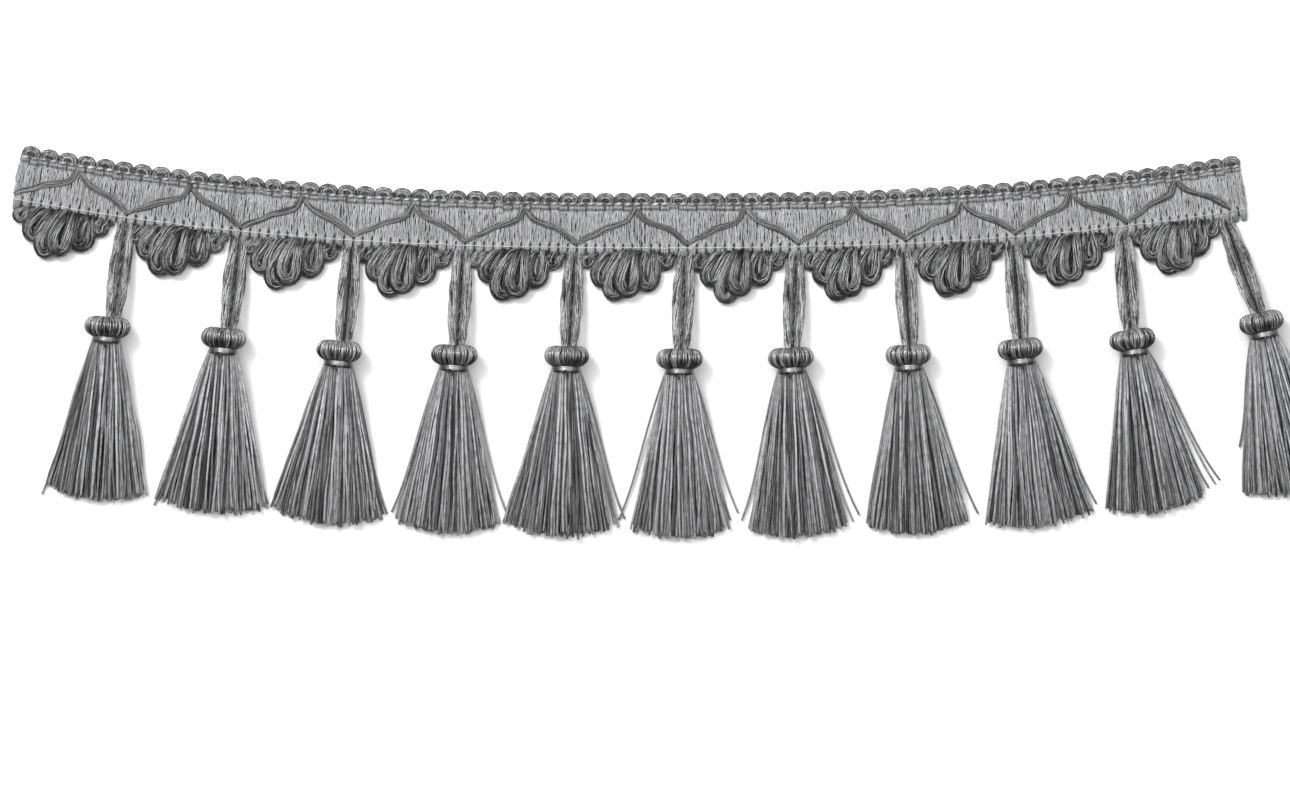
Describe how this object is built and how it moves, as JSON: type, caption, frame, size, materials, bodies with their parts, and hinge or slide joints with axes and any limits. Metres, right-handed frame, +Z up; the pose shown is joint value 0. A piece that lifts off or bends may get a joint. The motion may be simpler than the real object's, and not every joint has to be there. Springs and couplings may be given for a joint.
{
  "type": "tassel fringe trim",
  "caption": "Woven trim with a picot edge, a laid zigzag cord, looped lower edge and bound tassels on short hangers, lying flat in a shallow curve",
  "frame": {"origin": "on the flat back of the woven heading, at the lowest point of its curve", "axes": "+X runs along the heading, +Y points to the picot edge, +Z points up, out of the face; the tassels lie towards -Y"},
  "size_m": [0.346, 0.1012, 0.0114],
  "materials": {
    "weft_yarn": "satiny grey rayon yarn",
    "laid_cord": "dark grey twisted rayon cord",
    "skirt_yarn": "satiny grey two-ply rayon yarn",
    "binding_thread": "glossy light grey thread"
  },
  "bodies": {
    "root": {"heading": "weft_yarn", "wave_cord": "laid_cord", "loops_01": "weft_yarn", "loops_02": "weft_yarn", "loops_03": "weft_yarn", "loops_04": "weft_yarn", "loops_05": "weft_yarn", "loops_06": "weft_yarn", "loops_07": "weft_yarn", "loops_08": "weft_yarn", "loops_09": "weft_yarn", "loops_10": "weft_yarn", "loops_11": "weft_yarn", "hanger_01": "weft_yarn", "hanger_02": "weft_yarn", "hanger_03": "weft_yarn", "hanger_04": "weft_yarn", "hanger_05": "weft_yarn", "hanger_06": "weft_yarn", "hanger_07": "weft_yarn", "hanger_08": "weft_yarn", "hanger_09": "weft_yarn", "hanger_10": "weft_yarn", "hanger_11": "weft_yarn", "tassel_01": "skirt_yarn", "tassel_02": "skirt_yarn", "tassel_03": "skirt_yarn", "tassel_04": "skirt_yarn", "tassel_05": "skirt_yarn", "tassel_06": "skirt_yarn", "tassel_07": "skirt_yarn", "tassel_08": "skirt_yarn", "tassel_09": "skirt_yarn", "tassel_10": "skirt_yarn", "tassel_11": "skirt_yarn", "binding_01": "binding_thread", "binding_02": "binding_thread", "binding_03": "binding_thread", "binding_04": "binding_thread", "binding_05": "binding_thread", "binding_06": "binding_thread", "binding_07": "binding_thread", "binding_08": "binding_thread", "binding_09": "binding_thread", "binding_10": "binding_thread", "binding_11": "binding_thread"}
  },
  "joints": []
}
